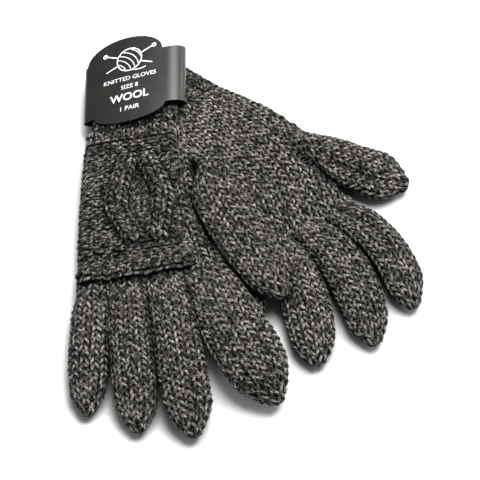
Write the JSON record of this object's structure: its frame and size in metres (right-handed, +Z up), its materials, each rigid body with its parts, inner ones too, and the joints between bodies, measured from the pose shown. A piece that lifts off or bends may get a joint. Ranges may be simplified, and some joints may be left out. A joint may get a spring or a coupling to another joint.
{
  "type": "knitted glove pair",
  "caption": "Pair of hand-knitted five-finger gloves lying overlapped, one palm up and one back up, with a leaf cable on the back panel and a folded card label band round one cuff.",
  "frame": {"origin": "middle of the overall box, at the height of the surface the pair lies on", "axes": "+Z up from the surface, fingertips towards -Y, thumbs towards +X, cuffs towards +Y"},
  "size_m": [0.2165, 0.271, 0.0322],
  "materials": {
    "plain_yarn": "marled two-ply wool, stocking stitch",
    "rib_yarn": "marled two-ply wool, ribbed",
    "purl_yarn": "marled two-ply wool, purl side out",
    "cable_yarn": "marled two-ply wool, raised cable",
    "label_card": "semi-gloss black card"
  },
  "bodies": {
    "left_glove": {"left_hand": "plain_yarn", "left_cuff": "rib_yarn", "left_back_panel": "purl_yarn", "left_leaf_cable": "cable_yarn", "left_little_lower": "plain_yarn", "left_little_upper": "plain_yarn", "left_ring_lower": "plain_yarn"},
    "right_glove": {"right_hand": "plain_yarn", "right_cuff": "rib_yarn", "right_back_panel": "purl_yarn", "right_leaf_cable": "cable_yarn"},
    "label": {"label_band": "label_card"},
    "left_index_base": {"left_index_lower": "plain_yarn"},
    "left_index_tip": {"left_index_upper": "plain_yarn"},
    "left_middle_base": {"left_middle_lower": "plain_yarn"},
    "left_middle_tip": {"left_middle_upper": "plain_yarn"},
    "left_ring_tip": {"left_ring_upper": "plain_yarn"},
    "left_thumb_base": {"left_thumb_lower": "plain_yarn"},
    "left_thumb_tip": {"left_thumb_upper": "plain_yarn"},
    "right_index_base": {"right_index_lower": "plain_yarn"},
    "right_index_tip": {"right_index_upper": "plain_yarn"},
    "right_middle_base": {"right_middle_lower": "plain_yarn"},
    "right_middle_tip": {"right_middle_upper": "plain_yarn"},
    "right_ring_base": {"right_ring_lower": "plain_yarn"},
    "right_ring_tip": {"right_ring_upper": "plain_yarn"},
    "right_little_base": {"right_little_lower": "plain_yarn"},
    "right_little_tip": {"right_little_upper": "plain_yarn"},
    "right_thumb_base": {"right_thumb_lower": "plain_yarn"},
    "right_thumb_tip": {"right_thumb_upper": "plain_yarn"}
  },
  "joints": [
    {"name": "right_glove_lift", "type": "slide", "parent": "left_glove", "child": "right_glove", "axis": [0, 0, 1], "range_m": [0, 0.06]},
    {"name": "label_band_slide", "type": "slide", "parent": "right_glove", "child": "label", "axis": [-0.0112, 0.9988, 0.0468], "range_m": [0, 0.07]},
    {"name": "left_index_root", "type": "hinge", "parent": "left_glove", "child": "left_index_base", "pos_m": [0.06067, 0.01446, 0.0132], "axis": [-0.832, -0.5547, 0], "range_deg": [0, 40]},
    {"name": "left_index_knuckle", "type": "hinge", "parent": "left_index_base", "child": "left_index_tip", "pos_m": [0.08677, -0.01165, 0.0132], "axis": [-0.832, -0.5547, 0], "range_deg": [0, 40]},
    {"name": "left_middle_root", "type": "hinge", "parent": "left_glove", "child": "left_middle_base", "pos_m": [0.04019, 0.00297, 0.0132], "axis": [-0.9001, -0.4357, 0], "range_deg": [0, 40]},
    {"name": "left_middle_knuckle", "type": "hinge", "parent": "left_middle_base", "child": "left_middle_tip", "pos_m": [0.06322, -0.03166, 0.0132], "axis": [-0.9001, -0.4357, 0], "range_deg": [0, 40]},
    {"name": "left_ring_knuckle", "type": "hinge", "parent": "left_glove", "child": "left_ring_tip", "pos_m": [0.03591, -0.05572, 0.0132], "axis": [-0.9593, -0.2825, 0], "range_deg": [0, 60]},
    {"name": "left_thumb_root", "type": "hinge", "parent": "left_glove", "child": "left_thumb_base", "pos_m": [0.06559, 0.04926, 0.0132], "axis": [-0.3439, -0.939, 0], "range_deg": [0, 40]},
    {"name": "left_thumb_knuckle", "type": "hinge", "parent": "left_thumb_base", "child": "left_thumb_tip", "pos_m": [0.07893, 0.04437, 0.0132], "axis": [-0.3439, -0.939, 0], "range_deg": [0, 40]},
    {"name": "right_index_root", "type": "hinge", "parent": "right_glove", "child": "right_index_base", "pos_m": [-0.02332, -0.03784, 0.02668], "axis": [-0.8688, -0.4827, -0.1101], "range_deg": [0, 40]},
    {"name": "right_index_knuckle", "type": "hinge", "parent": "right_index_base", "child": "right_index_tip", "pos_m": [-0.00353, -0.07741, 0.02676], "axis": [-0.8688, -0.4827, -0.1101], "range_deg": [0, 40]},
    {"name": "right_middle_root", "type": "hinge", "parent": "right_glove", "child": "right_middle_base", "pos_m": [-0.04916, -0.04531, 0.02374], "axis": [-0.9761, -0.1893, -0.1067], "range_deg": [0, 40]},
    {"name": "right_middle_knuckle", "type": "hinge", "parent": "right_middle_base", "child": "right_middle_tip", "pos_m": [-0.04074, -0.08768, 0.02255], "axis": [-0.9761, -0.1893, -0.1067], "range_deg": [0, 40]},
    {"name": "right_ring_root", "type": "hinge", "parent": "right_glove", "child": "right_ring_base", "pos_m": [-0.07424, -0.04701, 0.02065], "axis": [-0.9881, -0.1131, -0.1042], "range_deg": [0, 40]},
    {"name": "right_ring_knuckle", "type": "hinge", "parent": "right_ring_base", "child": "right_ring_tip", "pos_m": [-0.06967, -0.08695, 0.01919], "axis": [-0.9881, -0.1131, -0.1042], "range_deg": [0, 40]},
    {"name": "right_little_root", "type": "hinge", "parent": "right_glove", "child": "right_little_base", "pos_m": [-0.09692, -0.04701, 0.01738], "axis": [-0.9949, -0.0095, -0.1], "range_deg": [0, 40]},
    {"name": "right_little_knuckle", "type": "hinge", "parent": "right_little_base", "child": "right_little_tip", "pos_m": [-0.09716, -0.08321, 0.01562], "axis": [-0.9949, -0.0095, -0.1], "range_deg": [0, 40]},
    {"name": "right_thumb_root", "type": "hinge", "parent": "right_glove", "child": "right_thumb_base", "pos_m": [-0.01902, 0.02056, 0.02902], "axis": [-0.8556, -0.5059, -0.1098], "range_deg": [0, 40]},
    {"name": "right_thumb_knuckle", "type": "hinge", "parent": "right_thumb_base", "child": "right_thumb_tip", "pos_m": [-0.0006, -0.0106, 0.02936], "axis": [-0.8556, -0.5059, -0.1098], "range_deg": [0, 40]}
  ]
}
